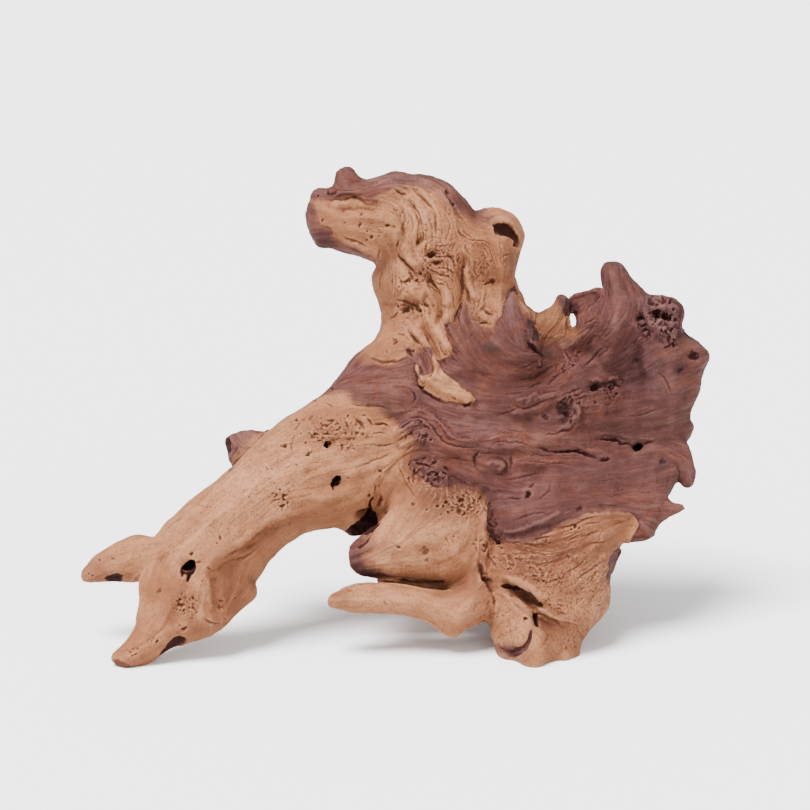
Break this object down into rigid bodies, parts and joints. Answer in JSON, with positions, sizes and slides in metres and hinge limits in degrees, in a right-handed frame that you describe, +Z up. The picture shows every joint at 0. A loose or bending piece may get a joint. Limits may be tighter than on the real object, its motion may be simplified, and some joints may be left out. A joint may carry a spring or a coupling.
{
  "type": "mopani root",
  "caption": "Weathered hardwood root with a knobbly upper limb, a hollow plate with fins, a long side root and worn feet.",
  "frame": {"origin": "on the ground, under the middle of the bounding box", "axes": "+X to the right along the longest extent as seen from the front, +Y away from the viewer, +Z up"},
  "size_m": [0.3274, 0.1486, 0.238],
  "materials": {
    "sapwood": "dry, weathered, matt",
    "heartwood": "dry, weathered, matt"
  },
  "bodies": {
    "root": {"trunk": "heartwood", "head_limb": "sapwood", "left_root": "sapwood", "front_prong": "sapwood", "back_prong": "sapwood", "spur": "sapwood", "crown_plate": "heartwood", "right_foot": "sapwood", "back_foot": "sapwood"}
  },
  "joints": []
}
